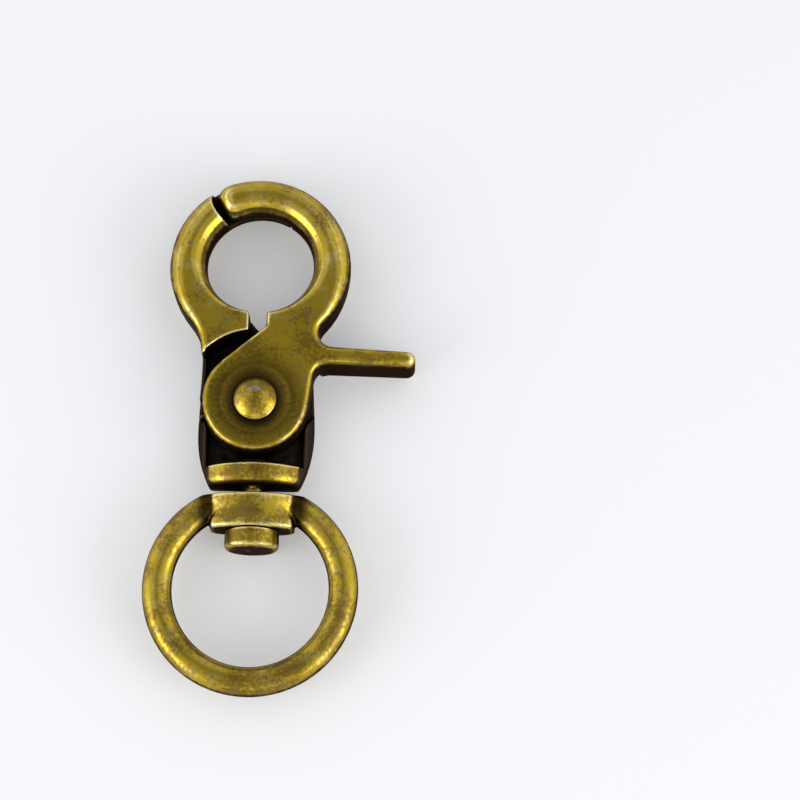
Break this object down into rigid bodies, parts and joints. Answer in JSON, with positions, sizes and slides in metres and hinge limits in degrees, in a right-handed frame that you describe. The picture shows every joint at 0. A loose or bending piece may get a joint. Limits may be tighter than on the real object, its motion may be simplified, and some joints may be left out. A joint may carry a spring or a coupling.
{
  "type": "swivel snap hook",
  "caption": "Cast snap hook with a sprung gate lever that closes its loop and an eye ring that turns on a stud in the foot.",
  "frame": {"origin": "the lever's pivot axis, in the plane of the hook's back face", "axes": "+Y from the pivot towards the loop, +Z out of the front face, +X towards the thumb piece"},
  "size_m": [0.033, 0.0661, 0.0074],
  "materials": {
    "cast_brass": "antique brass: worn olive gold on the raised faces, nearly black patina in the recesses and on the side walls",
    "rivet_brass": "antique brass, polished brighter on the dome and the rounded edge",
    "spring_steel": "dull grey spring wire"
  },
  "bodies": {
    "frame": {"hook_body": "cast_brass", "pivot_rivet": "rivet_brass", "torsion_spring": "spring_steel", "swivel_stud": "rivet_brass"},
    "lever": {"gate_lever": "cast_brass"},
    "ring": {"swivel_ring": "cast_brass"}
  },
  "joints": [
    {"name": "lever_pivot", "type": "hinge", "parent": "frame", "child": "lever", "pos_m": [0, 0, 0.004], "axis": [0, 0, -1], "range_deg": [0, 24], "stiffness_Nm_per_rad": 0.03, "springref_deg": -34.38, "deforming": ["torsion_spring"]},
    {"name": "ring_swivel", "type": "hinge", "parent": "frame", "child": "ring", "pos_m": [0, -0.014, 0.0034], "axis": [0, -1, 0], "continuous": true}
  ]
}
